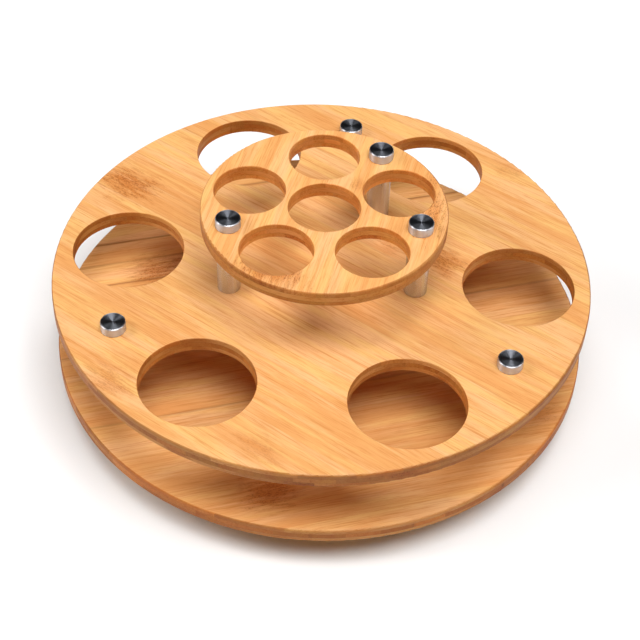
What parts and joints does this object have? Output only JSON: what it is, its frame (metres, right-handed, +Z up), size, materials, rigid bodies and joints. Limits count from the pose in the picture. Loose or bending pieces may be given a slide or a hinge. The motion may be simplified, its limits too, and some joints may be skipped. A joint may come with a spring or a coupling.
{
  "type": "lazy susan turntable",
  "caption": "Tiered round bamboo turntable: trays with round glass holes, held apart by steel standoffs, turning on a ball swivel above a small footed base.",
  "frame": {"origin": "on the turning axis, at the surface that the feet stand on", "axes": "+Z up along the turning axis; +X through the middle of one large glass hole; -Y is the front, towards the viewer of the reference picture"},
  "size_m": [0.35, 0.35, 0.144],
  "materials": {
    "bamboo": "satin oiled",
    "standoff_steel": "satin polished",
    "turned_steel": "turned and polished",
    "dark_screw": "black oxide",
    "plated_steel": "zinc plated",
    "nylon": "natural",
    "ball_steel": "polished",
    "foot_rubber": "matt",
    "screw_steel": "zinc plated"
  },
  "bodies": {
    "base": {"base_disc": "bamboo", "swivel_base_plate": "plated_steel", "base_screws": "screw_steel", "rubber_foot_1": "foot_rubber", "rubber_foot_2": "foot_rubber", "rubber_foot_3": "foot_rubber", "rubber_foot_4": "foot_rubber", "foot_screws": "screw_steel"},
    "turntable": {"top_tray": "bamboo", "middle_tray": "bamboo", "bottom_tray": "bamboo", "upper_barrel_1": "standoff_steel", "upper_barrel_2": "standoff_steel", "upper_barrel_3": "standoff_steel", "upper_cap_1": "turned_steel", "upper_cap_2": "turned_steel", "upper_cap_3": "turned_steel", "lower_barrel_1": "standoff_steel", "lower_barrel_2": "standoff_steel", "lower_barrel_3": "standoff_steel", "lower_cap_1": "turned_steel", "lower_cap_2": "turned_steel", "lower_cap_3": "turned_steel", "upper_post_screws": "dark_screw", "lower_post_screws": "dark_screw", "swivel_top_plate": "plated_steel", "tray_screws": "screw_steel"},
    "ball_ring": {"ball_cage": "nylon", "bearing_balls": "ball_steel"}
  },
  "joints": [
    {"name": "turntable_spin", "type": "hinge", "parent": "base", "child": "turntable", "pos_m": [0, 0, 0.019], "axis": [0, 0, 1], "continuous": true},
    {"name": "ball_ring_spin", "type": "hinge", "parent": "base", "child": "ball_ring", "pos_m": [0, 0, 0.019], "axis": [0, 0, 1], "continuous": true}
  ],
  "couplings": [
    {"joint": "ball_ring_spin", "follows": "turntable_spin", "ratio": 0.5}
  ]
}
